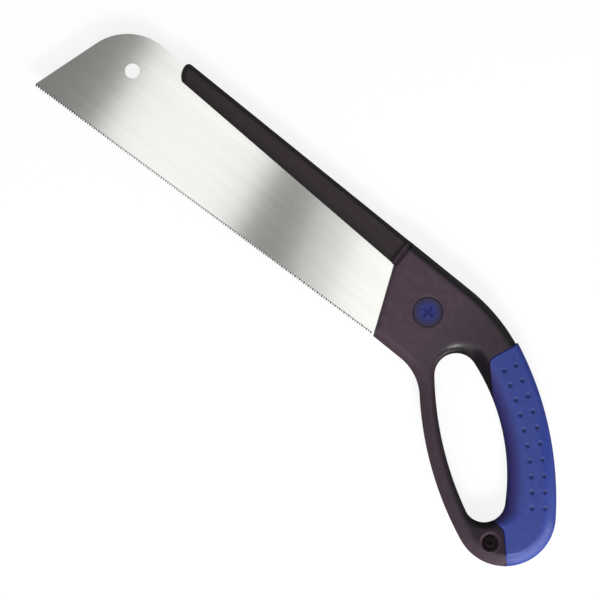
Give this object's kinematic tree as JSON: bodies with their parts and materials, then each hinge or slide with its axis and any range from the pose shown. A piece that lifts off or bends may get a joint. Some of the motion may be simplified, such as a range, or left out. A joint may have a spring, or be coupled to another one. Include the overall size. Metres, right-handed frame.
{
  "type": "japanese dovetail saw",
  "caption": "Pull saw with a tapered toothed blade, a moulded spine along part of its back and a closed loop handle with soft grips; a clamp screw in the cheek holds the blade.",
  "frame": {"origin": "on the clamp screw's axis, on the right cheek's outer face, which the saw lies on", "axes": "+X along the spine from the toe to the handle, +Y from the teeth to the spine, +Z out of the left cheek"},
  "size_m": [0.4465, 0.1325, 0.024],
  "materials": {
    "blade_steel": "fine brushed, bright",
    "spine_plastic": "fine spark texture, dark",
    "casing_plastic": "fine spark texture, dark",
    "grip_rubber": "soft matt, blue",
    "clamp_plastic": "satin, dark blue",
    "fastener_steel": "plated",
    "screw_black": "blackened"
  },
  "bodies": {
    "handle": {"left_casing": "casing_plastic", "right_casing": "casing_plastic", "left_grip": "grip_rubber", "right_grip": "grip_rubber", "spine": "spine_plastic", "clamp_insert": "fastener_steel", "spine_pin": "fastener_steel", "stop_pin_upper": "fastener_steel", "stop_pin_lower": "fastener_steel", "handle_screw": "screw_black"},
    "blade": {"blade": "blade_steel"},
    "clamp_carrier": {"clamp_washer": "fastener_steel"},
    "clamp_screw": {"clamp_head": "clamp_plastic", "clamp_stud": "fastener_steel"}
  },
  "joints": [
    {"name": "blade_slide", "type": "slide", "parent": "handle", "child": "blade", "axis": [-1, 0, 0], "range_m": [0, 0.19]},
    {"name": "clamp_lift", "type": "slide", "parent": "handle", "child": "clamp_carrier", "axis": [0, 0, 1], "range_m": [0, 0.002]},
    {"name": "clamp_turn", "type": "hinge", "parent": "clamp_carrier", "child": "clamp_screw", "pos_m": [0, 0, 0], "axis": [0, 0, 1], "range_deg": [0, 720]}
  ],
  "couplings": [
    {"joint": "clamp_turn", "follows": "clamp_lift", "rad_per_m": 6283}
  ]
}
